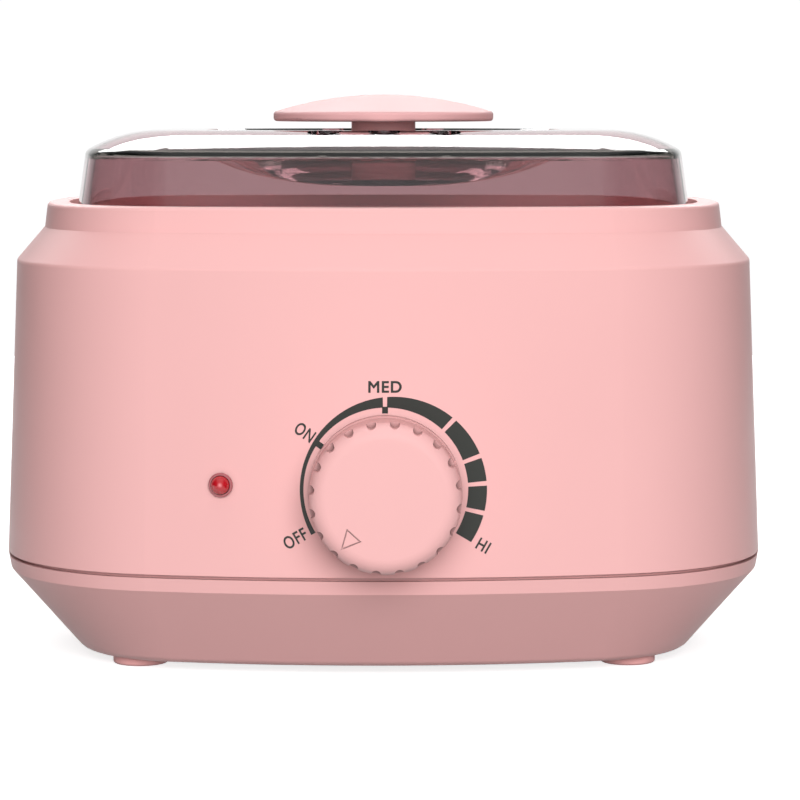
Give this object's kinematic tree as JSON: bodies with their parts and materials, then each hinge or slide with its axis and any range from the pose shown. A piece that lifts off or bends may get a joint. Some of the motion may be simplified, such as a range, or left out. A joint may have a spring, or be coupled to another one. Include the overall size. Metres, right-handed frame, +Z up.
{
  "type": "wax warmer pot",
  "caption": "Oval countertop wax warmer with a dial-controlled heated well, a lift-out metal pot with a folding wire handle, and a transparent lid with a round handle.",
  "frame": {"origin": "centre of the whole object's box, on the surface it stands on", "axes": "+X to the right as seen from the dial's side, along the long side; +Y from the dial to the back; +Z up"},
  "size_m": [0.2, 0.165, 0.1467],
  "materials": {
    "housing_plastic": "satin pink moulded plastic",
    "base_plastic": "satin pink moulded plastic",
    "foot_plastic": "matte pink soft plastic",
    "knob_plastic": "satin pink moulded plastic",
    "handle_plastic": "satin pink moulded plastic",
    "smoke_lid": "clear smoke-purple plastic",
    "pot_aluminium": "spun, fine turned lines",
    "well_aluminium": "spun, dull",
    "steel": "zinc-plated",
    "bail_steel": "bright nickel-plated wire",
    "brass": "turned",
    "heater_jacket": "heat-tinted steel jacket over mica",
    "fibre_blanket": "needled fibre",
    "ceramic": "glazed steatite",
    "black_plastic": "fine spark-eroded grain",
    "lamp_ring": "tinted moulded ring",
    "red_lens": "red lens",
    "circuit_board": "solder mask"
  },
  "bodies": {
    "housing": {"upper_housing": "housing_plastic", "lower_housing": "base_plastic", "feet": "foot_plastic", "base_screws": "steel", "heating_well": "well_aluminium", "well_screws": "steel", "heater_band": "heater_jacket", "band_screw": "steel", "insulation_wrap": "fibre_blanket", "thermal_fuse": "steel", "fuse_clip": "steel", "thermostat_body": "ceramic", "thermostat_nut": "brass", "led_holder": "lamp_ring", "led_lens": "red_lens", "led_board": "circuit_board", "power_inlet": "black_plastic", "inlet_pins": "steel", "terminal_block": "ceramic", "terminal_screws": "brass"},
    "dial": {"thermostat_shaft": "brass", "knob_insert": "brass", "knob": "knob_plastic"},
    "lid": {"lid_shell": "smoke_lid", "lid_handle": "handle_plastic", "lid_handle_screw": "steel"},
    "pot": {"wax_pot": "pot_aluminium"},
    "bail": {"pot_bail": "bail_steel"}
  },
  "joints": [
    {"name": "dial_turn", "type": "hinge", "parent": "housing", "child": "dial", "pos_m": [0, -0.0729, 0.0493], "axis": [0, 1, 0], "range_deg": [0, 258]},
    {"name": "lid_lift", "type": "slide", "parent": "housing", "child": "lid", "axis": [0, 0, 1], "range_m": [0, 0.2]},
    {"name": "pot_lift", "type": "slide", "parent": "housing", "child": "pot", "axis": [0, 0, 1], "range_m": [0, 0.09]},
    {"name": "bail_turn", "type": "hinge", "parent": "pot", "child": "bail", "pos_m": [0, 0.0091, 0.1118], "axis": [1, 0, 0], "range_deg": [0, 90]}
  ],
  "couplings": [
    {"joint": "pot_lift", "follows": "lid_lift", "ratio": 0.45},
    {"joint": "bail_turn", "follows": "lid_lift", "rad_per_m": 7.852}
  ]
}
